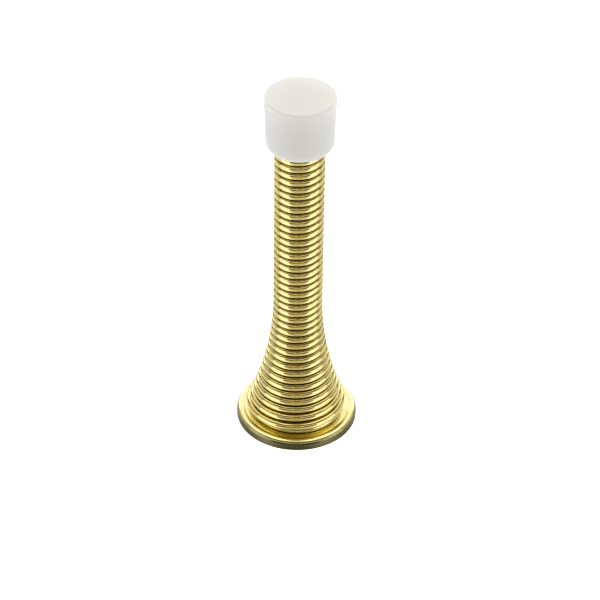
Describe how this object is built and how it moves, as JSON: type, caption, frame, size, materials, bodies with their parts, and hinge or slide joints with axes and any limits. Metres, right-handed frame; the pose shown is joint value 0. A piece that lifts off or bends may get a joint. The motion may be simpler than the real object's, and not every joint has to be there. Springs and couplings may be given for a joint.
{
  "type": "spring door stop",
  "caption": "Flexible spring door stop: a flared close-wound wire spring on a round pressed base, with a soft white tip that meets the door.",
  "frame": {"origin": "middle of the base's foot, in the plane of the wall that the base is screwed to", "axes": "+Z out from the wall along the spring, towards the soft tip; -Y is the side that the picture shows"},
  "size_m": [0.0254, 0.0254, 0.08],
  "materials": {
    "plated_base": "polished brass plating on pressed steel",
    "plated_wire": "polished brass plating on spring steel wire",
    "soft_tip": "matte soft white plastic"
  },
  "bodies": {
    "root": {"base_plate": "plated_base", "spring": "plated_wire", "buffer_tip": "soft_tip"}
  },
  "joints": []
}
